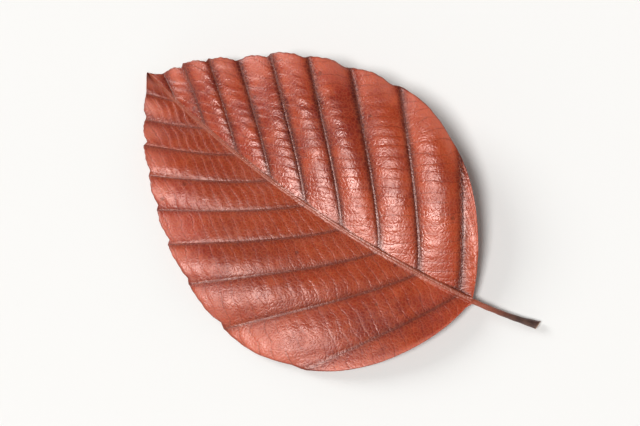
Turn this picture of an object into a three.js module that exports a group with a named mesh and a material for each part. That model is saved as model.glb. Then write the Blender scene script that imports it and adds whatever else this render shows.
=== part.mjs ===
// A single preserved leaf of the copper beech, lying on a surface with its upper face up.
// Millimetres, +Z up. +X runs along the midrib from the petiole to the tip, +Y is the leaf's left half.
// The origin lies under the middle of the leaf, on the surface that it rests on.
import * as THREE from "three";

const { lerp, smoothstep, degToRad } = THREE.MathUtils;

// Driving dimensions.
const BLADE_LENGTH = 86;
const BLADE_WIDTH = 61;
const BLADE_THICKNESS = 0.3;
const PETIOLE_LENGTH = 14;
const PETIOLE_RADIUS = 0.6;
const PETIOLE_END_RADIUS = 0.95;

// How the outline draws in to a point at the tip.
const TIP_PINCH = 0.35;
const TIP_REACH = 0.05;

// The midrib arches from the petiole to the tip and bows to the left. The petiole bends down to the surface.
const MIDRIB_BOW = 4.5;
const MIDRIB_ARCH = 3.4;
const BASE_HEIGHT = 3.15;
const TIP_HEIGHT = 0.3;
const RIB_HALF_WIDTH = 0.8;
const RIB_DEPTH = 0.75;
const RIB_TAPER = 0.75;
const PETIOLE_SWEEP = 1.5;
const PETIOLE_DROOP = 0.6;

// Side veins, numbered from 1 at the base. They leave the midrib evenly spaced and bend towards the tip.
// The right half's veins leave it half a step before the left half's, except at the base and the tip.
const FIRST_VEIN = 0.035;
const VEIN_STEPS = 9;
const ALTERNATION = 0.5;
const VEIN_SWEEP = 1.8;
const VEIN_BEND = 1.15;

// The blade stands up in a pleat between each two veins, lower towards the tip and the margin.
const PLEAT_HEIGHT = 1.4;
const PLEAT_FULLNESS = 0.85;
const PLEAT_TIP_FADE = 0.72;
const PLEAT_MARGIN_FADE = 0.35;

// Each vein ends in a small tooth of the margin, which stays plain beside the tip.
const TOOTH_LENGTH = 1.05;
const TOOTH_NOTCH = 0.12;
const TOOTH_START = 0.8;
const SCALLOP = 0.7;
const LAST_TOOTH = VEIN_STEPS - 1;
const PLAIN_MARGIN = VEIN_STEPS + 0.5;

// The two halves. The left one is fuller at the base than the right one, so it is widest nearer to the base.
// Each leaves the midrib at its own slope, and curls down to the margin at its own radius. The left half's
// pleats are lower.
const LEFT_HALF = {
  side: 1,
  baseTaper: 0.52,
  tipTaper: 0.9,
  slope: 0.1,
  curl: 64.9,
  pleats: 0.65,
  veinShift: 0,
};
const RIGHT_HALF = {
  side: -1,
  baseTaper: 0.85,
  tipTaper: 1.12,
  slope: 0.38,
  curl: 83,
  pleats: 1,
  veinShift: ALTERNATION,
};
const MARGIN_WAVE = 0.9;
const WAVE_VEINS = 3.1;

// Fineness of the mesh, and the stretch of the fan of veins that it covers.
const PETIOLE_ROWS = 8;
const BASE_ROWS = 7;
const BASE_CROWDING = 1.4;
const STEP_PLACES = [0, TOOTH_NOTCH, 0.3, ALTERNATION, ALTERNATION + TOOTH_NOTCH, ALTERNATION + 0.3];
const COLUMNS = 9;
const RIB_COLUMNS = 2;
const RIB_MOST = 0.4;
const PETIOLE_EDGE_ANGLE = degToRad(80);
const FIRST_PLACE = 0.02;
const LAST_VEIN = VEIN_STEPS + 0.97;

const cosineRise = (v) => (1 - Math.cos(Math.PI * v)) / 2;
const cosineRiseInverse = (x) => Math.acos(1 - 2 * x) / Math.PI;

// The width of a half of the blade at a fraction x of its length: rounded at the base, pointed at the tip.
function halfWidth(x, { baseTaper, tipTaper }) {
  const shape = (at) => at ** baseTaper * (1 - at) ** tipTaper;
  const widest = baseTaper / (baseTaper + tipTaper);
  const point = 1 - TIP_PINCH * Math.exp((x - 1) / TIP_REACH);
  return (((BLADE_WIDTH / 2) * shape(x)) / shape(widest)) * point;
}

// The line of the midrib at a fraction x of the blade's length.
function midrib(x) {
  const arch = 4 * x * (1 - x);
  const chord = lerp(BASE_HEIGHT, TIP_HEIGHT, x);
  return new THREE.Vector3(x * BLADE_LENGTH, MIDRIB_BOW * arch, chord + MIDRIB_ARCH * arch);
}

// The petiole carries on straight from the base of the midrib, then bends to the right and down.
function petioleLine(back) {
  const slopeAside = (4 * MIDRIB_BOW) / BLADE_LENGTH;
  const slopeUp = (TIP_HEIGHT - BASE_HEIGHT + 4 * MIDRIB_ARCH) / BLADE_LENGTH;
  const run = back * PETIOLE_LENGTH;
  const bend = back ** 2;
  const aside = -slopeAside * run - PETIOLE_SWEEP * bend;
  return new THREE.Vector3(-run, aside, BASE_HEIGHT - slopeUp * run - PETIOLE_DROOP * bend);
}

// Where along the fan of veins, from the base at 0 to the tip at 1, the vein of this number lies.
function veinPlace(number) {
  const leaves = lerp(FIRST_VEIN, 1, Math.max(number - 1, 0) / VEIN_STEPS);
  const place = cosineRiseInverse(leaves) ** (1 / VEIN_SWEEP);
  return number < 1 ? place * number : place;
}

// Where a vein leaves the midrib and where it reaches the margin, as fractions of the blade's length.
function veinCourse(number, half) {
  const place = veinPlace(number);
  const leaves = cosineRise(place ** VEIN_SWEEP);
  const reaches = cosineRise(place);
  const width = halfWidth(reaches, half);
  return { leaves, reaches, width, length: Math.hypot((reaches - leaves) * BLADE_LENGTH, width) };
}

// The margin's tooth: a point at the vein's end, a notch just past it, then a shallow scallop.
function tooth(number) {
  const past = number - Math.floor(number);
  const falling = 1 - past / TOOTH_NOTCH;
  const rising = ((past - TOOTH_NOTCH) / (1 - TOOTH_NOTCH)) ** 3;
  const point = TOOTH_LENGTH * (past < TOOTH_NOTCH ? falling : rising);
  const fade = 1 - smoothstep(number, LAST_TOOTH, PLAIN_MARGIN);
  return fade * (point + SCALLOP * Math.sin(Math.PI * past));
}

// How high the pleat stands at this place: none on a vein or at the midrib, most in the middle of a pleat.
function pleat(number, across, leaves, half) {
  const height = half.pleats * PLEAT_HEIGHT * (1 - PLEAT_TIP_FADE * leaves);
  const arch = Math.abs(Math.sin(Math.PI * number)) ** PLEAT_FULLNESS;
  return height * arch * (1 - (1 - across) ** 3) * (1 - PLEAT_MARGIN_FADE * across);
}

// A point of the blade's upper face. across runs from the midrib at 0 to the margin at 1.
function bladeTop(number, across, half) {
  const { leaves, reaches, width, length } = veinCourse(number, half);
  const toothShare = (tooth(number) * smoothstep(across, TOOTH_START, 1)) / length;
  const along = leaves + (reaches - leaves) * (across ** VEIN_BEND + toothShare);
  const distance = width * (across + toothShare);
  const wave = Math.sin((2 * Math.PI * number) / WAVE_VEINS + half.side);

  const point = midrib(along);
  point.y += half.side * distance;
  point.z += half.slope * distance - distance ** 2 / (2 * half.curl);
  point.z += pleat(number, across, leaves, half) + MARGIN_WAVE * across ** 2 * wave;
  return point;
}

// How far a half's veins are shifted along the fan: not at all where both halves end.
function veinShift(number, half) {
  const ends = smoothstep(number, 0, 1) * (1 - smoothstep(number, LAST_TOOTH, LAST_VEIN));
  return half.veinShift * ends;
}

// The blade at a column counted from the midrib, with the midrib standing out under its first columns.
function bladePoint(number, column, isTop) {
  const half = column < 0 ? RIGHT_HALF : LEFT_HALF;
  const { leaves, width } = veinCourse(number, half);
  const taper = 1 - RIB_TAPER * leaves;
  const count = Math.abs(column);
  const ribShare = Math.min(RIB_MOST, (RIB_HALF_WIDTH * taper) / width);
  const beyond = (count - RIB_COLUMNS) / (COLUMNS - RIB_COLUMNS);
  const across = beyond < 0 ? (ribShare * count) / RIB_COLUMNS : lerp(ribShare, 1, beyond);
  const shift = veinShift(number, half) * Math.min(1, count / RIB_COLUMNS);
  const point = bladeTop(number + shift, across, half);
  if (!isTop) {
    const ribRound = Math.sqrt(Math.max(0, 1 - (count / RIB_COLUMNS) ** 2));
    point.z -= BLADE_THICKNESS + RIB_DEPTH * taper * ribRound;
  }
  return point;
}

// The petiole is round, and swells towards the end that was joined to the twig.
function petiolePoint(back, column, isTop) {
  const radius = lerp(PETIOLE_RADIUS, PETIOLE_END_RADIUS, back ** 3);
  const angle = (column / COLUMNS) * PETIOLE_EDGE_ANGLE;
  const rise = radius * Math.cos(angle);
  const point = petioleLine(back);
  point.y += radius * Math.sin(angle);
  point.z += isTop ? rise : -rise;
  return point;
}

// The rows of the leaf from the petiole's end to the tip, each a function of column and face.
function leafRows() {
  const rows = [];
  for (let i = 0; i < PETIOLE_ROWS; i++) {
    const back = 1 - i / PETIOLE_ROWS;
    rows.push((column, isTop) => petiolePoint(back, column, isTop));
  }
  const numbers = [];
  for (let i = 0; i < BASE_ROWS; i++) {
    numbers.push(lerp(FIRST_PLACE / veinPlace(1), 1, (i / BASE_ROWS) ** BASE_CROWDING));
  }
  for (let step = 1; step <= VEIN_STEPS; step++) {
    numbers.push(...STEP_PLACES.map((past) => step + past));
  }
  numbers.push(LAST_VEIN);
  numbers.forEach((number) => rows.push((column, isTop) => bladePoint(number, column, isTop)));
  return rows;
}

// A closed box whose grid of vertices is laid out over the leaf's rows and columns.
function leafGeometry() {
  const rows = leafRows();
  const rowSteps = rows.length - 1;
  const geometry = new THREE.BoxGeometry(rowSteps, 2 * COLUMNS, 1, rowSteps, 2 * COLUMNS, 1);
  const positions = geometry.attributes.position;
  for (let i = 0; i < positions.count; i++) {
    const row = Math.round(positions.getX(i) + rowSteps / 2);
    const column = Math.round(positions.getY(i));
    const point = rows[row](column, positions.getZ(i) > 0);
    positions.setXYZ(i, point.x, point.y, point.z);
  }
  geometry.computeVertexNormals();
  return geometry;
}

const leafMaterial = new THREE.MeshStandardMaterial({ color: 0xa85845, roughness: 0.45, metalness: 0 });

const leaf = new THREE.Mesh(leafGeometry(), leafMaterial);
leaf.name = "beech_leaf";

// The leaf stands with its lowest points on the surface and its middle over the origin.
const part = new THREE.Group();
part.add(leaf);
const bounds = new THREE.Box3().setFromObject(part);
const middle = bounds.getCenter(new THREE.Vector3());
leaf.position.set(-middle.x, -middle.y, -bounds.min.z);

export default part;
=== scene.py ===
"""A single preserved copper beech leaf lying on a pale floor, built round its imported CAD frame.

Metres, in the frame's axes: +X runs along the midrib to the tip, +Y is the leaf's left half and +Z is up.
The leaf is one closed mesh. Its rows follow the side veins from the midrib to the margin, so that pleats,
teeth and veins all lie along the mesh.
"""
import math

import bpy
import numpy as np
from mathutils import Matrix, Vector


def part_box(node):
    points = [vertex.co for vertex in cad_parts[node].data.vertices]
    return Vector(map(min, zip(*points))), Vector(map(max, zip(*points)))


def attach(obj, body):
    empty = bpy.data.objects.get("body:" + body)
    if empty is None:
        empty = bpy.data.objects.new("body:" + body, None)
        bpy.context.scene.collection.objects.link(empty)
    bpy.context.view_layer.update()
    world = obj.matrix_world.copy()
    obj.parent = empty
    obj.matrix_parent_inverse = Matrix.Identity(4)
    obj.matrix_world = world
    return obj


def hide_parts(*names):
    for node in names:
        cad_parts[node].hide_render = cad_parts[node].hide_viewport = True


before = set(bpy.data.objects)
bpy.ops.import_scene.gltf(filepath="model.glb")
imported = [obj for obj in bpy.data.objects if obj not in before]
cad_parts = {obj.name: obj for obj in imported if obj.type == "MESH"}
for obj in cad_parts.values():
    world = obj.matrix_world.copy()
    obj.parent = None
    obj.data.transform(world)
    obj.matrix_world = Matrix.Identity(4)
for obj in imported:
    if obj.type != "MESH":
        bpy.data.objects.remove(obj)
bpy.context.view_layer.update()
leaf_low, leaf_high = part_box("beech_leaf")

# The driving dimensions come from the frame's own leaf.
MM = 0.001
LEAF_LENGTH = leaf_high.x - leaf_low.x
LEAF_WIDTH = leaf_high.y - leaf_low.y
LEAF_HEIGHT = leaf_high.z - leaf_low.z
BLADE_LENGTH = 0.861 * LEAF_LENGTH
BLADE_WIDTH = 0.971 * LEAF_WIDTH
PETIOLE_LENGTH = 0.14 * LEAF_LENGTH
BLADE_THICKNESS = 0.26 * MM
PETIOLE_RADIUS = 0.55 * MM
PETIOLE_END_RADIUS = 0.95 * MM

# How the outline draws in to a point at the tip, and widens into the petiole at the base.
TIP_PINCH = 0.35
TIP_REACH = 0.05
BASE_JOIN_REACH = 0.02

# The midrib arches and bows to the left. It is a low ridge above, higher at the base, and a cord below.
MIDRIB_BOW = 0.072 * LEAF_WIDTH
MIDRIB_ARCH = 0.264 * LEAF_HEIGHT
BASE_HEIGHT = 0.245 * LEAF_HEIGHT
TIP_HEIGHT = 0.023 * LEAF_HEIGHT
RIB_RADIUS = 0.62 * MM
RIB_DEPTH = 0.62 * MM
RIB_TAPER = 0.78
RIB_RIDGE = 0.16 * MM
BASE_RIDGE = 0.42 * MM
BASE_RIDGE_REACH = 0.09

# The petiole bends to the right and down, and swells to its end. Its bark is uneven. The scar on its end is
# rings as wide as these shares of the end's radius, each of them this share of it past the end.
PETIOLE_SWEEP = 1.5 * MM
PETIOLE_DROOP = 0.6 * MM
PETIOLE_SWELLING = 4
PETIOLE_UNEVENNESS = 0.05
PETIOLE_GRAIN_ROUND = 9.0
PETIOLE_GRAIN_ALONG = 14.0
PETIOLE_KNOTS = 31.0
SCAR_WIDTHS = (0.3, 0.6, 0.8, 0.91, 0.98)
SCAR_RISES = (-0.12, -0.06, 0.05, 0.08, 0.05)

# What the materials read on the petiole, which has no margin, and lies between two rungs.
FAR_FROM_MARGIN = 9.0 * MM
BETWEEN_RUNGS = 0.5

# Side veins, numbered from 1 at the base. They are grooves above and cords below, thinner at the margin.
FIRST_VEIN = 0.035
VEIN_STEPS = 9
VEIN_SWEEP = 1.8
VEIN_BEND = 1.15
VEIN_GROOVE = 0.08 * MM
VEIN_GROOVE_REACH = 0.32 * MM
VEIN_DEPTH = 0.3 * MM
VEIN_RADIUS = 0.3 * MM
VEIN_THINNING = 0.75
NO_VEIN_NEAR = 2.0 * MM

# Pleats between the veins. Past its first veins, the left half's pleats rise late, near the margin.
PLEAT_HEIGHT = 1.45 * MM
PLEAT_FULLNESS = 0.85
PLEAT_TIP_FADE = 0.72
PLEAT_MARGIN_FADE = 0.35
PLEAT_UNEVENNESS = 0.16
LATE_PLEATS = 0.8
LATE_PLEAT_GROWTH = 1.4
FIRST_LATE_PLEAT = 2.0
ALL_PLEATS_LATE = 5.0

# The ladder of small veins that crosses each panel between two side veins, and the puckers in it.
LADDER_SPACING = 2.1 * MM
LADDER_HEIGHT = 0.045 * MM
LADDER_SLANT = 4.4 * MM
LADDER_BEND = 0.8 * MM
LADDER_BEND_LENGTH = 9.0 * MM
LADDER_STAGGER = 0.38
PUCKER_HEIGHT = 0.05 * MM
PUCKER_LENGTH = 2.6 * MM
PUCKER_WAVES = 9
SMOOTH_BY_VEIN = 0.2 * MM
PUCKERED_FROM_VEIN = 1.2 * MM
SMOOTH_BY_RIB = 0.02
PUCKERED_FROM_RIB = 0.15

# The margin's teeth and lobes.
TOOTH_LENGTH = 0.9 * MM
TOOTH_UNEVENNESS = 0.35
TOOTH_NOTCH = 0.12
TOOTH_START = 0.8
SCALLOP = 0.95 * MM
MARGIN_RAGGEDNESS = 0.05 * MM
RAGGED_WAVES = (8.3, 13.7, 31.0)
PLAIN_BASE = 0.3
FIRST_TOOTH = 0.9
LAST_TOOTH = VEIN_STEPS - 1
PLAIN_MARGIN = VEIN_STEPS + 0.5

# The two halves. The left one is fuller at the base. Slope and curl give the margin's height, and each half
# runs out nearly straight from the midrib at its inner slope, then bends to the margin. The right half's
# veins leave the midrib half a step before the left half's.
LEFT_HALF = {
    "base_taper": 0.52,
    "tip_taper": 0.9,
    "slope": 0.1,
    "curl": 64.9 * MM,
    "inner_slope": 0.0,
    "pleats": 0.65,
    "late_pleats": 1.0,
    "vein_shift": 0.0,
}
RIGHT_HALF = {
    "base_taper": 0.85,
    "tip_taper": 1.12,
    "slope": 0.38,
    "curl": 83.0 * MM,
    "inner_slope": 0.32,
    "pleats": 1.0,
    "late_pleats": 0.0,
    "vein_shift": 0.5,
}
BEND_SHARPNESS = 4
MARGIN_WAVE = 0.9 * MM
WAVE_VEINS = 3.1
RIPPLE_HEIGHT = 0.22 * MM
RIPPLE_LENGTH = 15 * MM

# The materials number the right half's panels from here on, so that no two panels share a number.
RIGHT_PANELS = 20.0

# Fineness of the mesh. The margin and the petiole's sides are rounded by one more point on each ring.
HALF_COLUMNS = 72
MIDRIB_CROWDING = 0.85
ROWS_PER_STEP = 24
BASE_ROWS = 34
BASE_CROWDING = 1.4
PETIOLE_ROWS = 26
FIRST_PLACE = 0.02
LAST_VEIN = VEIN_STEPS + 0.999
PETIOLE_EDGE_ANGLE = math.radians(81.0)
PETIOLE_BULGE = math.tan((math.pi / 2.0 - PETIOLE_EDGE_ANGLE) / 2.0) / 2.0
BLADE_BULGE = 0.5

random = np.random.default_rng(7)


# ---------------------------------------------------------------- small helpers

def smoothstep(value, low, high):
    """0 below low, 1 above high, and a smooth rise between."""
    share = np.clip((value - low) / (high - low), 0.0, 1.0)
    return share * share * (3.0 - 2.0 * share)


def cosine_rise(share):
    return (1.0 - np.cos(np.pi * share)) / 2.0


def cosine_rise_inverse(height):
    return np.arccos(1.0 - 2.0 * height) / np.pi


def half_round(distance, radius):
    """The height of a half circle of this radius, as a share of it, at a distance from its middle."""
    return np.sqrt(np.clip(1.0 - (distance / radius) ** 2, 0.0, 1.0))


def ripple(x, y, wave_length, waves=6):
    """A smooth uneven field of about -1 to 1: waves that cross each other in random directions."""
    total = np.zeros_like(x)
    for _ in range(waves):
        heading, phase = random.uniform(0.0, 2.0 * np.pi, 2)
        stretch = random.uniform(0.7, 1.5)
        distance = x * math.cos(heading) + y * math.sin(heading)
        total += np.sin(2.0 * np.pi * distance * stretch / wave_length + phase)
    return total / waves


# ---------------------------------------------------------------- the leaf's lines

def of_half(name, side):
    """The size of this name for the half that each point lies on: side is 1 on the left, -1 on the right."""
    return np.where(side > 0.0, LEFT_HALF[name], RIGHT_HALF[name])


def half_width(x, side):
    """The width of a half of the blade at a fraction x of its length."""
    base_taper = of_half("base_taper", side)
    tip_taper = of_half("tip_taper", side)

    def shape(at):
        return at ** base_taper * (1.0 - at) ** tip_taper

    widest = base_taper / (base_taper + tip_taper)
    point = 1.0 - TIP_PINCH * np.exp((x - 1.0) / TIP_REACH)
    width = BLADE_WIDTH / 2.0 * shape(x) / shape(widest) * point
    return np.hypot(width, PETIOLE_RADIUS * np.exp(-x / BASE_JOIN_REACH))


def midrib(x):
    """The line of the midrib on the upper face, at a fraction x of the blade's length."""
    arch = 4.0 * x * (1.0 - x)
    height = BASE_HEIGHT + (TIP_HEIGHT - BASE_HEIGHT) * x + MIDRIB_ARCH * arch
    return x * BLADE_LENGTH, MIDRIB_BOW * arch, height


def petiole_line(back):
    """The petiole's axis, from the blade at 0 back to its end at 1."""
    slope_aside = 4.0 * MIDRIB_BOW / BLADE_LENGTH
    slope_up = (TIP_HEIGHT - BASE_HEIGHT + 4.0 * MIDRIB_ARCH) / BLADE_LENGTH
    run = back * PETIOLE_LENGTH
    aside = -slope_aside * run - PETIOLE_SWEEP * back ** 2
    height = BASE_HEIGHT - slope_up * run - PETIOLE_DROOP * back ** 2
    return -run, aside, height


def vein_place(number):
    """Where along the fan of veins, from the base at 0 to the tip at 1, the vein of this number lies."""
    leaves = FIRST_VEIN + (1.0 - FIRST_VEIN) * np.maximum(number - 1.0, 0.0) / VEIN_STEPS
    place = cosine_rise_inverse(leaves) ** (1.0 / VEIN_SWEEP)
    return place * np.minimum(number, 1.0)


def vein_course(number, side):
    """Where a vein leaves the midrib and reaches the margin, the half width there, and its length."""
    place = vein_place(number)
    leaves = cosine_rise(place ** VEIN_SWEEP)
    reaches = cosine_rise(place)
    width = half_width(reaches, side)
    return leaves, reaches, width, np.hypot((reaches - leaves) * BLADE_LENGTH, width)


def per_vein(number, side, spread):
    """A size of its own for each vein's tooth or each pleat, near 1, apart for the two halves."""
    sizes = 1.0 + random.uniform(-spread, spread, (2, VEIN_STEPS + 3))
    return sizes[(side > 0).astype(int), np.clip(number.astype(int), 0, VEIN_STEPS + 2)]


def tooth(number, side):
    """The margin's tooth: a point at the vein's end, a notch just past it, then a shallow scallop."""
    past = number - np.floor(number)
    falling = 1.0 - past / TOOTH_NOTCH
    rising = (np.maximum(past - TOOTH_NOTCH, 0.0) / (1.0 - TOOTH_NOTCH)) ** 3
    point = TOOTH_LENGTH * np.where(past < TOOTH_NOTCH, falling, rising)
    point *= per_vein(number + 0.5, side, TOOTH_UNEVENNESS)
    ragged = MARGIN_RAGGEDNESS * sum(np.sin(wave * number + side) for wave in RAGGED_WAVES)
    ends = smoothstep(number, PLAIN_BASE, FIRST_TOOTH) * (1.0 - smoothstep(number, LAST_TOOTH, PLAIN_MARGIN))
    return ends * (point + SCALLOP * np.sin(np.pi * past) + ragged)


def pleat(number, side, across, leaves):
    """How high the blade stands between two veins. across runs from the midrib at 0 to the margin at 1."""
    height = PLEAT_HEIGHT * (1.0 - PLEAT_TIP_FADE * leaves) * per_vein(number, side, PLEAT_UNEVENNESS)
    arch = np.abs(np.sin(np.pi * number)) ** PLEAT_FULLNESS
    early = (1.0 - (1.0 - across) ** 3) * (1.0 - PLEAT_MARGIN_FADE * across) * of_half("pleats", side)
    late = LATE_PLEATS * across ** LATE_PLEAT_GROWTH
    lateness = of_half("late_pleats", side) * smoothstep(number, FIRST_LATE_PLEAT, ALL_PLEATS_LATE)
    return height * arch * (early + lateness * (late - early))


def half_height(side, across, distance, width):
    """How high a half lies over the midrib at a distance from it, before its pleats and ripples."""
    inner_slope = of_half("inner_slope", side)
    margin_height = of_half("slope", side) * width - width ** 2 / (2.0 * of_half("curl", side))
    return inner_slope * distance + (margin_height - inner_slope * width) * across ** BEND_SHARPNESS


# ---------------------------------------------------------------- the leaf's faces

def row_numbers():
    """The vein numbers of the blade's rows: crowded at the base, then even."""
    first = FIRST_PLACE / vein_place(np.array(1.0))
    base = first + (1.0 - first) * (np.arange(BASE_ROWS) / BASE_ROWS) ** BASE_CROWDING
    steps = 1.0 + np.arange(VEIN_STEPS * ROWS_PER_STEP) / ROWS_PER_STEP
    return np.concatenate([base, steps, [LAST_VEIN]])


def column_shares():
    """How far across its half each column lies, from -1 to 1, crowded at the midrib."""
    share = np.arange(HALF_COLUMNS + 1) / HALF_COLUMNS
    share = share - MIDRIB_CROWDING * share * (1.0 - share) ** 4
    return np.concatenate([-share[:0:-1], share])


def blade_grid():
    """The vein number, the side and the share across its half of each point, rows by columns."""
    columns = column_shares()[None, :]
    rows = row_numbers()[:, None]
    across = np.abs(columns) + 0.0 * rows
    side = np.where(columns < 0.0, -1.0, 1.0) + 0.0 * rows
    width = vein_course(rows, side)[2]
    beside_rib = smoothstep(across * width, 0.0, RIB_RADIUS)
    ends = smoothstep(rows, 0.0, 1.0) * (1.0 - smoothstep(rows, LAST_TOOTH, LAST_VEIN))
    return rows + of_half("vein_shift", side) * ends * beside_rib, side, across


def blade_surface(number, side, across):
    """The blade's upper face before its small relief, and how far each point lies from the midrib."""
    leaves, reaches, width, length = vein_course(number, side)
    tooth_share = tooth(number, side) * smoothstep(across, TOOTH_START, 1.0) / length
    along = leaves + (reaches - leaves) * (across ** VEIN_BEND + tooth_share)
    distance = width * (across + tooth_share)
    x, y, z = midrib(along)
    y = y + side * distance
    z = z + half_height(side, across, distance, width)
    z += MARGIN_WAVE * across ** 2 * np.sin(2.0 * np.pi * number / WAVE_VEINS + side)
    z += pleat(number, side, across, leaves)
    z += RIPPLE_HEIGHT * across * ripple(x, y, RIPPLE_LENGTH)
    return x, y, z, distance


def distance_from_vein(x, y, number):
    """How far each point lies from the nearest side vein, measured square to the veins."""
    plan = np.stack([x, y], -1)
    step = np.gradient(plan, axis=0) / np.gradient(number, axis=0)[..., None]
    run = np.gradient(plan, axis=1)
    run /= np.linalg.norm(run, axis=-1, keepdims=True)
    spacing = np.abs(step[..., 0] * run[..., 1] - step[..., 1] * run[..., 0])
    nearest = np.round(number)
    distance = np.abs(number - nearest) * spacing
    return np.where(nearest < 1.0, np.maximum(distance, NO_VEIN_NEAR), distance)


def ladder(x, y, number, along_vein):
    """Where each point lies among the ladder's rungs, which are at whole numbers, and its relief there."""
    bend = LADDER_SLANT * (number - np.floor(number)) + LADDER_BEND * ripple(x, y, LADDER_BEND_LENGTH)
    rungs = (along_vein + bend) / LADDER_SPACING + LADDER_STAGGER * np.floor(number)
    puckers = PUCKER_HEIGHT * ripple(x, y, PUCKER_LENGTH, PUCKER_WAVES)
    return rungs, puckers - LADDER_HEIGHT * np.cos(2.0 * np.pi * rungs)


def blade_faces():
    """The blade's upper and lower face as grids of points, rows by columns, with what lies where on them."""
    number, side, across = blade_grid()
    leaves, _, _, length = vein_course(number, side)
    x, y, z, from_rib = blade_surface(number, side, across)
    from_vein = distance_from_vein(x, y, number)

    rungs, relief = ladder(x, y, number, across * length)
    relief *= smoothstep(from_vein, SMOOTH_BY_VEIN, PUCKERED_FROM_VEIN)
    relief *= smoothstep(across, SMOOTH_BY_RIB, PUCKERED_FROM_RIB)
    groove = VEIN_GROOVE * np.exp(-(from_vein / VEIN_GROOVE_REACH) ** 2) * smoothstep(from_rib, 0.0, MM)
    z += relief - groove

    taper = 1.0 - RIB_TAPER * leaves
    vein_size = (1.0 - VEIN_THINNING * across) * taper
    rib_round = half_round(from_rib, RIB_RADIUS * taper)
    vein_round = half_round(from_vein, VEIN_RADIUS * vein_size)
    ridge = RIB_RIDGE * taper + BASE_RIDGE * np.exp(-leaves / BASE_RIDGE_REACH)
    cords = np.maximum(RIB_DEPTH * taper * rib_round, VEIN_DEPTH * vein_size * vein_round)
    top = np.stack([x, y, z + ridge * rib_round], -1)
    bottom = np.stack([x, y, z - BLADE_THICKNESS - cords], -1)
    facts = {
        "from_vein": from_vein,
        "from_rib": from_rib,
        "from_margin": (1.0 - across) * length,
        "rungs": rungs,
        "panel": number + np.where(side > 0.0, 0.0, RIGHT_PANELS),
        "petiole": np.zeros_like(number),
    }
    return top, bottom, facts


def petiole_rings():
    """The petiole's rings from the scar to the blade: how far back, how wide, and how far past the end."""
    back = 1.0 - np.arange(PETIOLE_ROWS)[:, None] / PETIOLE_ROWS
    width = PETIOLE_RADIUS + (PETIOLE_END_RADIUS - PETIOLE_RADIUS) * back ** PETIOLE_SWELLING
    scar_width = PETIOLE_END_RADIUS * np.array(SCAR_WIDTHS)[:, None]
    scar_rise = PETIOLE_END_RADIUS * np.array(SCAR_RISES)[:, None]
    rings_back = np.concatenate([np.ones_like(scar_width), back])
    return rings_back, np.concatenate([scar_width, width]), np.concatenate([scar_rise, np.zeros_like(back)])


def petiole_faces():
    """The petiole's upper and lower face as grids like the blade's, from its end to the blade."""
    angle = column_shares()[None, :] * PETIOLE_EDGE_ANGLE
    back, radius, past_end = petiole_rings()
    grain = np.sin(PETIOLE_GRAIN_ROUND * angle + PETIOLE_GRAIN_ALONG * back)
    radius = radius * (1.0 + PETIOLE_UNEVENNESS * (grain + np.sin(PETIOLE_KNOTS * back)))
    x, y, z = petiole_line(back)
    aside = radius * np.sin(angle)
    rise = radius * np.cos(angle)
    x = x - past_end + 0.0 * angle
    top = np.stack([x, y + aside, z + rise], -1)
    bottom = np.stack([x, y + aside, z - rise], -1)
    zero = np.zeros_like(x)
    facts = {
        "from_vein": zero + NO_VEIN_NEAR,
        "from_rib": zero,
        "from_margin": zero + FAR_FROM_MARGIN,
        "rungs": zero + BETWEEN_RUNGS,
        "panel": zero,
        "petiole": back + zero,
    }
    return top, bottom, facts


# ---------------------------------------------------------------- the leaf's mesh

def ring_round(top, bottom, facts):
    """Joins the two faces into closed rings, with one more point at each side to round the margin."""
    edges = [0, -1]
    inner = [1, -2]
    outward = top[:, edges] - top[:, inner] + bottom[:, edges] - bottom[:, inner]
    outward /= np.linalg.norm(outward, axis=-1, keepdims=True)
    gap = np.linalg.norm(top[:, edges] - bottom[:, edges], axis=-1, keepdims=True)
    bulge = np.where(facts["petiole"][:, edges] > 0.0, PETIOLE_BULGE, BLADE_BULGE)[..., None]
    middle = (top[:, edges] + bottom[:, edges]) / 2.0 + outward * bulge * gap
    points = np.concatenate([top, middle[:, 1:], bottom[:, ::-1], middle[:, :1]], axis=1)

    def lay(values):
        return np.concatenate([values, values[:, -1:], values[:, ::-1], values[:, :1]], axis=1)

    rings = {name: lay(values) for name, values in facts.items()}
    upper = np.concatenate([np.ones(top.shape[1]), [0.5], np.zeros(top.shape[1]), [0.5]])
    rings["upper"] = np.broadcast_to(upper, points.shape[:2])
    return points, rings


def fit_to_frame(points):
    """Scales the points a little, axis by axis, so that they fill the frame's own leaf exactly."""
    low = points.min(axis=(0, 1))
    high = points.max(axis=(0, 1))
    scale = (np.array(leaf_high) - np.array(leaf_low)) / (high - low)
    return np.array(leaf_low) + (points - low) * scale


def rings_to_mesh(name, points, rings):
    """A closed mesh from rings of points: quads between rings, and a fan at each end."""
    count, around = points.shape[:2]
    index = np.arange(count * around).reshape(count, around)
    after = np.roll(index, -1, axis=1)
    quads = np.stack([index[:-1], index[1:], after[1:], after[:-1]], -1).reshape(-1, 4)
    ends = points[[0, -1]].mean(axis=1)
    hubs = count * around + np.arange(2)
    first_fan = [(hubs[0], a, b) for a, b in zip(index[0], after[0])]
    last_fan = [(hubs[1], b, a) for a, b in zip(index[-1], after[-1])]
    mesh = bpy.data.meshes.new(name)
    vertices = np.concatenate([points.reshape(-1, 3), ends])
    mesh.from_pydata(vertices.tolist(), [], quads.tolist() + first_fan + last_fan)
    for fact, values in rings.items():
        layer = mesh.attributes.new(fact, "FLOAT", "POINT")
        hub_values = values[[0, -1]].mean(axis=1)
        layer.data.foreach_set("value", np.concatenate([values.ravel(), hub_values]).astype(np.float32))
    mesh.polygons.foreach_set("use_smooth", [True] * len(mesh.polygons))
    mesh.update()
    return mesh


def map_cells(*corners):
    """The corners of a run of faces in the order of the mesh, each corner a pair of row and column."""
    pairs = [np.stack(np.broadcast_arrays(row, column), -1) for row, column in corners]
    return np.stack(pairs, axis=1).reshape(-1, 2)


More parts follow.
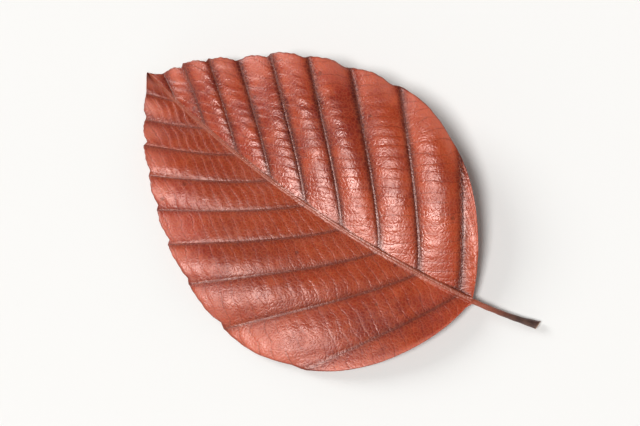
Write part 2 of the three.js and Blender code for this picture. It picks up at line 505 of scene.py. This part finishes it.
def lay_out_map(mesh, count, around):
    """A texture map with one cell for each step of the rings, so that its detail is even over the leaf."""
    quad = np.arange((count - 1) * around)
    row = quad // around + 1
    column = quad % around
    side = np.arange(around)
    places = np.concatenate([
        map_cells((row, column), (row + 1, column), (row + 1, column + 1), (row, column + 1)),
        map_cells((0, side + 0.5), (1, side), (1, side + 1)),
        map_cells((count + 1, side + 0.5), (count, side + 1), (count, side)),
    ])
    layer = mesh.uv_layers.new(name="OFBake")
    layer.data.foreach_set("uv", (places / np.array([count + 1, around])).ravel().astype(np.float32))


def make_leaf():
    petiole_top, petiole_bottom, petiole_facts = petiole_faces()
    blade_top, blade_bottom, blade_facts = blade_faces()
    top = np.concatenate([petiole_top, blade_top])
    bottom = np.concatenate([petiole_bottom, blade_bottom])
    facts = {name: np.concatenate([petiole_facts[name], blade_facts[name]]) for name in blade_facts}
    points, rings = ring_round(top, bottom, facts)
    mesh = rings_to_mesh("copper_leaf", fit_to_frame(points), rings)
    lay_out_map(mesh, *points.shape[:2])
    leaf = bpy.data.objects.new("copper_leaf", mesh)
    bpy.context.collection.objects.link(leaf)
    return leaf


# ---------------------------------------------------------------- materials

def linear(red, green, blue):
    """A display colour of 0 to 255 as the linear colour that shaders take."""
    def convert(value):
        value /= 255.0
        return value / 12.92 if value <= 0.04045 else ((value + 0.055) / 1.055) ** 2.4
    return (convert(red), convert(green), convert(blue), 1.0)


# The upper face's colours.
COPPER = linear(172, 66, 31)
DEEP_COPPER = linear(128, 35, 20)
ROSY = linear(166, 57, 39)
PANEL_BROWN = linear(122, 34, 20)
LIGHT_COPPER = linear(186, 78, 38)
# Painted shade: a darker brown painted over the left half's inner zone, standing in for the light that falls
# less there.
INNER_SHADE_BROWN = linear(134, 47, 15)
# Painted shade: a dark red painted into the pleat valleys beside the side veins, where shade falls.
VALLEY_SHADE_RED = linear(63, 14, 13)
# Painted highlight: a pale pink painted on the margin's lobes, where light glints.
LOBE_HIGHLIGHT_PINK = linear(206, 116, 96)
NET_TAN = linear(198, 106, 68)
RUNG_BROWN = linear(104, 34, 22)
# Painted shade: a dark brown painted along the sides of the side veins, where they sink into their grooves.
VEIN_SIDE_SHADE_BROWN = linear(74, 22, 15)
VEIN_BROWN = linear(122, 52, 35)
RIB_TAN = linear(152, 76, 52)

# The lower face's colours.
UNDER_LIGHT = linear(176, 92, 62)
UNDER_DARK = linear(156, 76, 50)
UNDER_NET = linear(198, 124, 90)
UNDER_RUNG = linear(190, 116, 82)
UNDER_VEIN = linear(186, 116, 84)
UNDER_RIB = linear(166, 98, 72)

# Wear, and the petiole.
DRY_MARGIN = linear(96, 40, 26)
SPOT = linear(72, 24, 14)
BARK_LIGHT = linear(84, 58, 48)
BARK_DARK = linear(58, 38, 32)
STALK_RED = linear(158, 82, 59)
SCAR_TAN = linear(150, 120, 96)

# Fineness of the patterns, in waves or cells to a metre.
ROSY_SCALE = 24.0
PATCH_SCALE = 38.0
SPOT_SCALE = 155.0
VALLEY_SCALE = 170.0
MOTTLE_SCALE = 210.0
WAX_SCALE = 260.0
RUNG_FADE_SCALE = 300.0
DRY_SCALE = 420.0
RUNG_WANDER_SCALE = 600.0
BARK_SCALE = 900.0
NET_SCALE = 1250.0
GRAIN_SCALE = 2600.0

# Where details begin and end, measured from a side vein.
VALLEY_FADE = (0.5 * MM, 2.1 * MM)
VALLEY_WANDER = 1.1 * MM
LOBE_RISE = (0.5 * MM, 2.4 * MM)
RUNG_RISE = (0.15 * MM, 0.5 * MM)
VEIN_SIDE_FADE = (0.14 * MM, 0.36 * MM)
VEIN_CORE_FADE = (0.06 * MM, 0.16 * MM)
UNDER_VEIN_FADE = (0.14 * MM, 0.34 * MM)
VEIN_CORD_FADE = (0.0, 0.22 * MM)

# The same measured from a rung of the ladder of small veins, as a share of the rungs' spacing.
RUNG_WANDER = 0.4

# The same measured from the midrib, and from the margin.
RIB_FADE = (0.34 * MM, 0.58 * MM)
UNDER_RIB_FADE = (0.45 * MM, 0.7 * MM)
LOBE_FADE = (0.8 * MM, 6.0 * MM)
INNER_RISE = (3.0 * MM, 11.0 * MM)
VEIN_SLIMMING = (0.0, 22.0 * MM)
DRY_FADE = (0.3 * MM, 0.75 * MM)
DRY_WANDER = 0.7 * MM

# The same in side veins from the base: the left half's painted inner shade, and the fading of the painted
# valley shade.
INNER_SHADE_RISE = (1.5, 4.5)
VALLEY_TIP_FADE = (5.0, 9.5)

# Between which values of a pattern of 0 to 1 a detail starts and is full.
PATCH_RISE = (0.35, 0.65)
ROSY_RISE = (0.45, 0.65)
MOTTLE_RISE = (0.4, 0.68)
WAX_RISE = (0.3, 0.7)
NET_FADE = (0.03, 0.12)
RUNG_FADE = (0.02, 0.09)
RUNG_PATCHES = (0.35, 0.6)
SPOT_FADE = (0.05, 0.09)
CUSHION_RISE = (0.0, 0.3)
SUNK_RUNG_FADE = (0.0, 0.14)

# Along the petiole, from the blade at 0 to its end at 1.
STALK_RISE = (0.0, 0.1)
BARK_RISE = (0.0, 0.75)
SCAR_RISE = (0.99, 1.0)

# How strongly each detail shows in the upper face's colour, from 0 to 1.
ROSY_SHARE = 0.6
PANEL_SHARE = 0.4
MOTTLE_SHARE = 0.5
INNER_SHADE_SHARE = 0.55
INNER_SHADE_AT_BASE = 0.25
VALLEY_SHARE_LEFT = 0.4
VALLEY_SHARE_RIGHT = 0.9
VALLEY_AT_TIP = 0.45
LOBE_SHARE = 0.55
NET_SHARE = 0.22
RUNG_SHARE = 0.4
RUNG_FAINTEST = 0.2
VEIN_SIDE_SHARE_LEFT = 0.4
VEIN_SIDE_SHARE_RIGHT = 0.7
VEIN_CORE_SHARE = 0.6
VEIN_SLIMMEST = 0.6
RIB_SHARE = 0.7

# The same in the lower face's colour, and for the wear.
UNDER_NET_SHARE = 0.3
UNDER_RUNG_SHARE = 0.6
UNDER_VEIN_SHARE = 0.8
UNDER_RIB_SHARE = 0.9
DRY_SHARE = 0.5
SPOT_SHARE = 0.45

# Heights in the relief, as shares of its full height.
GRAIN_RELIEF = 0.4
VEIN_CORD_RELIEF = 0.6
SUNK_RUNG_RELIEF = -0.8

# The leaf's gloss and its translucence.
WAXY_ROUGHNESS = (0.34, 0.46)
RIGHT_HALF_SMOOTHER = -0.07
DULLER_UNDER = 0.18
SPECULAR_LEVEL = 0.72
SPECULAR_TINT = (1.0, 0.73, 0.68, 1.0)
SUBSURFACE_WEIGHT = 0.3
SUBSURFACE_RADIUS = (0.9, 0.28, 0.12)
SUBSURFACE_SCALE = 0.5 * MM
BUMP_STRENGTH = 0.45
BUMP_DISTANCE = 0.045 * MM


class Nodes:
    """Short names for the shader nodes that the materials use."""

    def __init__(self, name):
        self.material = bpy.data.materials.new(name)
        self.material.use_nodes = True
        self.tree = self.material.node_tree
        self.shader = self.tree.nodes["Principled BSDF"]
        self.place = self.tree.nodes.new("ShaderNodeTexCoord").outputs["Object"]

    def link(self, source, socket):
        self.tree.links.new(source, socket)

    def fill(self, socket, value):
        if isinstance(value, bpy.types.NodeSocket):
            self.link(value, socket)
        else:
            socket.default_value = value

    def fact(self, name):
        """What the mesh says under this name: one of its attributes."""
        node = self.tree.nodes.new("ShaderNodeAttribute")
        node.attribute_name = name
        return node.outputs["Fac"]

    def offset(self, distance):
        """The place on the leaf moved aside, so that one pattern doesn't follow another."""
        node = self.tree.nodes.new("ShaderNodeVectorMath")
        self.link(self.place, node.inputs[0])
        node.inputs[1].default_value = (distance, distance, distance)
        return node.outputs[0]

    def math(self, operation, *values):
        node = self.tree.nodes.new("ShaderNodeMath")
        node.operation = operation
        for socket, value in zip(node.inputs, values):
            self.fill(socket, value)
        return node.outputs[0]

    def times(self, first, second):
        return self.math("MULTIPLY", first, second)

    def add(self, first, second):
        return self.math("ADD", first, second)

    def inverse(self, share):
        return self.math("SUBTRACT", 1.0, share)

    def ramp(self, value, span, start=0.0, end=1.0):
        """An easing from start to end, while value runs from the low to the high end of span."""
        node = self.tree.nodes.new("ShaderNodeMapRange")
        node.interpolation_type = "SMOOTHSTEP"
        self.link(value, node.inputs["Value"])
        for name, limit in zip(("From Min", "From Max", "To Min", "To Max"), (*span, start, end)):
            node.inputs[name].default_value = limit
        return node.outputs["Result"]

    def noise(self, scale, detail=3.0, roughness=0.5, place=None):
        node = self.tree.nodes.new("ShaderNodeTexNoise")
        self.link(place or self.place, node.inputs["Vector"])
        node.inputs["Scale"].default_value = scale
        node.inputs["Detail"].default_value = detail
        node.inputs["Roughness"].default_value = roughness
        return node.outputs["Fac"]

    def cells(self, scale, feature="DISTANCE_TO_EDGE"):
        node = self.tree.nodes.new("ShaderNodeTexVoronoi")
        node.feature = feature
        self.link(self.place, node.inputs["Vector"])
        node.inputs["Scale"].default_value = scale
        return node.outputs["Distance"]

    def random_tone(self, number):
        """A random share of its own for each whole number."""
        node = self.tree.nodes.new("ShaderNodeTexWhiteNoise")
        node.noise_dimensions = "1D"
        self.link(self.math("FLOOR", number), node.inputs["W"])
        return node.outputs["Value"]

    def mix(self, factor, first, second):
        node = self.tree.nodes.new("ShaderNodeMix")
        node.data_type = "RGBA"
        sockets = {socket.identifier: socket for socket in node.inputs}
        self.fill(sockets["Factor_Float"], factor)
        self.fill(sockets["A_Color"], first)
        self.fill(sockets["B_Color"], second)
        return next(socket for socket in node.outputs if socket.identifier == "Result_Color")


class LeafNodes(Nodes):
    """The leaf's material, with the facts and patterns that its colours, gloss and relief share."""

    def __init__(self, name):
        super().__init__(name)
        self.upper = self.ramp(self.fact("upper"), (0.45, 0.55))
        self.from_vein = self.fact("from_vein")
        self.from_rib = self.fact("from_rib")
        self.from_margin = self.fact("from_margin")
        self.petiole = self.fact("petiole")
        self.panel = self.fact("panel")
        self.number = self.math("MODULO", self.panel, RIGHT_PANELS)
        self.on_right = self.ramp(self.panel, (RIGHT_PANELS - 5.0, RIGHT_PANELS - 2.0))
        self.patches = self.ramp(self.noise(PATCH_SCALE, 4.0, 0.55), PATCH_RISE)
        self.net = self.ramp(self.cells(NET_SCALE), NET_FADE, 1.0, 0.0)
        wander = self.times(self.noise(RUNG_WANDER_SCALE, 2.0), RUNG_WANDER)
        self.from_rung = self.math("PINGPONG", self.add(self.fact("rungs"), wander), BETWEEN_RUNGS)
        self.rung = self.broken_rungs()

    def broken_rungs(self):
        """The ladder's small veins, which stop short of the side veins and fade in places."""
        rung = self.ramp(self.from_rung, RUNG_FADE, 1.0, 0.0)
        rung = self.times(rung, self.ramp(self.from_vein, RUNG_RISE))
        fading = self.noise(RUNG_FADE_SCALE, 2.0, place=self.offset(0.3))
        return self.times(rung, self.ramp(fading, RUNG_PATCHES, RUNG_FAINTEST, 1.0))

    def by_half(self, left, right):
        """left on the left half, right on the right half."""
        return self.math("MULTIPLY_ADD", self.on_right, right - left, left)


def copper_colour(n):
    """The upper face's copper, with deeper, rosy and light patches, and each panel a little apart."""
    colour = n.mix(n.patches, COPPER, DEEP_COPPER)
    rosy = n.ramp(n.noise(ROSY_SCALE, 2.0, place=n.offset(0.7)), ROSY_RISE, 0.0, ROSY_SHARE)
    colour = n.mix(rosy, colour, ROSY)
    colour = n.mix(n.times(n.random_tone(n.panel), PANEL_SHARE), colour, PANEL_BROWN)
    mottling = n.ramp(n.noise(MOTTLE_SCALE, 6.0, 0.6), MOTTLE_RISE, 0.0, MOTTLE_SHARE)
    return n.mix(mottling, colour, LIGHT_COPPER)


def shade_panels(n, colour):
    """The left half gets painted shade inside, the valleys by the veins get painted shade, and the margin's
    lobes get a painted pale highlight.
    """
    # Painted shade over the left half's inner zone, away from the margin, weaker near the base.
    inner_shade = n.times(n.inverse(n.on_right), n.ramp(n.from_margin, INNER_RISE, 0.0, INNER_SHADE_SHARE))
    inner_shade = n.times(inner_shade, n.ramp(n.number, INNER_SHADE_RISE, INNER_SHADE_AT_BASE, 1.0))
    colour = n.mix(inner_shade, colour, INNER_SHADE_BROWN)
    # Painted shade in the valleys beside the side veins, stronger on the right half and fading towards the
    # tip.
    wander = n.times(n.noise(VALLEY_SCALE, 3.0, place=n.offset(0.2)), VALLEY_WANDER)
    valley_shade = n.ramp(n.add(n.from_vein, wander), VALLEY_FADE, 1.0, 0.0)
    valley_shade = n.times(valley_shade, n.by_half(VALLEY_SHARE_LEFT, VALLEY_SHARE_RIGHT))
    valley_shade = n.times(valley_shade, n.ramp(n.number, VALLEY_TIP_FADE, 1.0, VALLEY_AT_TIP))
    colour = n.mix(valley_shade, colour, VALLEY_SHADE_RED)
    # A painted pale highlight on the margin's lobes, between the side veins.
    lobe_highlight = n.times(n.ramp(n.from_margin, LOBE_FADE, LOBE_SHARE, 0.0), n.ramp(n.from_vein, LOBE_RISE))
    return n.mix(lobe_highlight, colour, LOBE_HIGHLIGHT_PINK)


def draw_upper_veins(n, colour):
    """The net and the ladder of small veins, then thin side veins with painted shade along their sides, and a
    paler midrib.
    """
    colour = n.mix(n.times(n.net, NET_SHARE), colour, NET_TAN)
    colour = n.mix(n.times(n.rung, RUNG_SHARE), colour, RUNG_BROWN)
    slimness = n.ramp(n.from_margin, VEIN_SLIMMING, VEIN_SLIMMEST, 1.0)
    vein_reach = n.math("DIVIDE", n.from_vein, slimness)
    # Painted shade along the sides of the side veins, stronger on the right half.
    vein_side_shade = n.ramp(vein_reach, VEIN_SIDE_FADE, 1.0, 0.0)
    vein_side_shade = n.times(vein_side_shade, n.by_half(VEIN_SIDE_SHARE_LEFT, VEIN_SIDE_SHARE_RIGHT))
    colour = n.mix(vein_side_shade, colour, VEIN_SIDE_SHADE_BROWN)
    colour = n.mix(n.ramp(vein_reach, VEIN_CORE_FADE, VEIN_CORE_SHARE, 0.0), colour, VEIN_BROWN)
    return n.mix(n.ramp(n.from_rib, RIB_FADE, RIB_SHARE, 0.0), colour, RIB_TAN)


def under_colour(n):
    """The lower face is paler and more even, and all its veins stand out pale."""
    colour = n.mix(n.patches, UNDER_LIGHT, UNDER_DARK)
    colour = n.mix(n.times(n.net, UNDER_NET_SHARE), colour, UNDER_NET)
    colour = n.mix(n.times(n.rung, UNDER_RUNG_SHARE), colour, UNDER_RUNG)
    colour = n.mix(n.ramp(n.from_vein, UNDER_VEIN_FADE, UNDER_VEIN_SHARE, 0.0), colour, UNDER_VEIN)
    return n.mix(n.ramp(n.from_rib, UNDER_RIB_FADE, UNDER_RIB_SHARE, 0.0), colour, UNDER_RIB)


def add_wear(n, colour):
    """A dark dry line along the margin and its teeth, and a few small dark spots."""
    from_edge = n.add(n.from_margin, n.times(n.noise(DRY_SCALE), DRY_WANDER))
    colour = n.mix(n.ramp(from_edge, DRY_FADE, DRY_SHARE, 0.0), colour, DRY_MARGIN)
    return n.mix(n.ramp(n.cells(SPOT_SCALE, "F1"), SPOT_FADE, SPOT_SHARE, 0.0), colour, SPOT)


def stalk_colour(n):
    """The petiole is grey-brown bark, reddish towards the blade, with a pale scar at its end."""
    bark = n.mix(n.ramp(n.noise(BARK_SCALE, 4.0), PATCH_RISE), BARK_LIGHT, BARK_DARK)
    colour = n.mix(n.ramp(n.petiole, BARK_RISE), STALK_RED, bark)
    return n.mix(n.ramp(n.petiole, SCAR_RISE), colour, SCAR_TAN)


def leaf_colour(n):
    upper = draw_upper_veins(n, shade_panels(n, copper_colour(n)))
    blade = add_wear(n, n.mix(n.upper, under_colour(n), upper))
    return n.mix(n.ramp(n.petiole, STALK_RISE), blade, stalk_colour(n))


def leaf_roughness(n):
    """A waxy upper face, smoother on the right half, and a duller lower one."""
    waxy = n.ramp(n.noise(WAX_SCALE, 4.0), WAX_RISE, *WAXY_ROUGHNESS)
    waxy = n.math("MULTIPLY_ADD", n.on_right, RIGHT_HALF_SMOOTHER, waxy)
    dull = n.add(waxy, DULLER_UNDER)
    return n.add(n.times(waxy, n.upper), n.times(dull, n.inverse(n.upper)))


def leaf_relief(n):
    """The net of veins sunk between tiny cushions, a grain over all, and the side veins and rungs."""
    relief = n.ramp(n.cells(NET_SCALE), CUSHION_RISE)
    relief = n.add(relief, n.times(n.noise(GRAIN_SCALE, 4.0, 0.6), GRAIN_RELIEF))
    relief = n.add(relief, n.ramp(n.from_vein, VEIN_CORD_FADE, VEIN_CORD_RELIEF, 0.0))
    relief = n.add(relief, n.ramp(n.from_rung, SUNK_RUNG_FADE, SUNK_RUNG_RELIEF, 0.0))
    bump = n.tree.nodes.new("ShaderNodeBump")
    bump.inputs["Strength"].default_value = BUMP_STRENGTH
    bump.inputs["Distance"].default_value = BUMP_DISTANCE
    n.link(relief, bump.inputs["Height"])
    return bump.outputs["Normal"]


def leaf_material():
    n = LeafNodes("preserved_beech")
    sockets = n.shader.inputs
    n.link(leaf_colour(n), sockets["Base Color"])
    n.link(leaf_roughness(n), sockets["Roughness"])
    n.link(leaf_relief(n), sockets["Normal"])
    sockets["Specular IOR Level"].default_value = SPECULAR_LEVEL
    sockets["Specular Tint"].default_value = SPECULAR_TINT
    sockets["Subsurface Weight"].default_value = SUBSURFACE_WEIGHT
    sockets["Subsurface Radius"].default_value = SUBSURFACE_RADIUS
    sockets["Subsurface Scale"].default_value = SUBSURFACE_SCALE
    return n.material


# ---------------------------------------------------------------- floor, light and camera

FLOOR_REACH = 40.0 * LEAF_LENGTH
FLOOR_ROUGHNESS = 0.7
FLOOR_SCALE = 3.0
FLOOR_WARM = (0.83, 0.82, 0.8, 1.0)
FLOOR_PALE = (0.85, 0.84, 0.825, 1.0)

# Directions towards the two lights, how wide they look in degrees, and their strengths.
OVERHEAD_DIRECTION = (0.08, 0.41, 0.91)
OVERHEAD_SPREAD = 18.0
OVERHEAD_STRENGTH = 2.45
SIDE_DIRECTION = (0.8, 0.1, 0.5)
SIDE_SPREAD = 30.0
SIDE_STRENGTH = 1.35

# The room's glow at the horizon, and from this height of the sky upward.
HORIZON_GLOW = 0.95
SKY_GLOW = 0.12
SKY_HEIGHT = 0.6
SKY_COLOUR = (1.0, 0.99, 0.97, 1.0)

CAMERA_AZIMUTH = math.radians(216.5)
CAMERA_ELEVATION = math.radians(75.0)
CAMERA_DISTANCE = 3.15 * LEAF_LENGTH
CAMERA_LENS = 85.0
CAMERA_NEAREST = 10.0 * MM


def floor_material():
    n = Nodes("pale_floor")
    n.link(n.mix(n.noise(FLOOR_SCALE), FLOOR_WARM, FLOOR_PALE), n.shader.inputs["Base Color"])
    n.shader.inputs["Roughness"].default_value = FLOOR_ROUGHNESS
    return n.material


def make_floor():
    mesh = bpy.data.meshes.new("floor")
    corners = [(-1.0, -1.0), (1.0, -1.0), (1.0, 1.0), (-1.0, 1.0)]
    mesh.from_pydata([(x * FLOOR_REACH, y * FLOOR_REACH, 0.0) for x, y in corners], [], [(0, 1, 2, 3)])
    mesh.materials.append(floor_material())
    floor = bpy.data.objects.new("floor", mesh)
    floor.location.z = leaf_low.z
    bpy.context.collection.objects.link(floor)


def add_soft_light(name, towards, spread, strength):
    """A broad, soft light from far away in a direction; spread is how wide it looks, in degrees."""
    light = bpy.data.lights.new(name, "SUN")
    light.angle = math.radians(spread)
    light.energy = strength
    lamp = bpy.data.objects.new(name, light)
    lamp.rotation_euler = (-Vector(towards)).to_track_quat("-Z", "Y").to_euler()
    bpy.context.collection.objects.link(lamp)


def make_lights():
    """One soft light over the leaf glances off its pleats, and one from beyond the tip shades them."""
    add_soft_light("overhead", OVERHEAD_DIRECTION, OVERHEAD_SPREAD, OVERHEAD_STRENGTH)
    add_soft_light("side", SIDE_DIRECTION, SIDE_SPREAD, SIDE_STRENGTH)


def make_world():
    """A pale room: bright at the horizon and dim overhead."""
    world = bpy.data.worlds.new("studio")
    world.use_nodes = True
    tree = world.node_tree
    background = tree.nodes["Background"]
    place = tree.nodes.new("ShaderNodeTexCoord")
    split = tree.nodes.new("ShaderNodeSeparateXYZ")
    glow = tree.nodes.new("ShaderNodeMapRange")
    glow.inputs["From Max"].default_value = SKY_HEIGHT
    glow.inputs["To Min"].default_value = HORIZON_GLOW
    glow.inputs["To Max"].default_value = SKY_GLOW
    tree.links.new(place.outputs["Generated"], split.inputs[0])
    tree.links.new(split.outputs["Z"], glow.inputs["Value"])
    tree.links.new(glow.outputs["Result"], background.inputs["Strength"])
    background.inputs["Color"].default_value = SKY_COLOUR
    bpy.context.scene.world = world


def make_camera():
    """Looks down on the leaf, with its tip at the upper left as it grows in the bunch."""
    centre = (leaf_low + leaf_high) / 2.0
    towards = Vector((
        math.sin(CAMERA_AZIMUTH) * math.cos(CAMERA_ELEVATION),
        -math.cos(CAMERA_AZIMUTH) * math.cos(CAMERA_ELEVATION),
        math.sin(CAMERA_ELEVATION),
    ))
    camera = bpy.data.objects.new("camera", bpy.data.cameras.new("camera"))
    camera.data.lens = CAMERA_LENS
    camera.data.clip_start = CAMERA_NEAREST
    camera.location = centre + towards * CAMERA_DISTANCE
    camera.rotation_euler = (-towards).to_track_quat("-Z", "Y").to_euler()
    bpy.context.collection.objects.link(camera)
    bpy.context.scene.camera = camera


leaf = make_leaf()
leaf.data.materials.append(leaf_material())
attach(leaf, "root")
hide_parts("beech_leaf")
make_floor()
make_lights()
make_world()
make_camera()
bpy.context.scene.view_settings.view_transform = "Standard"
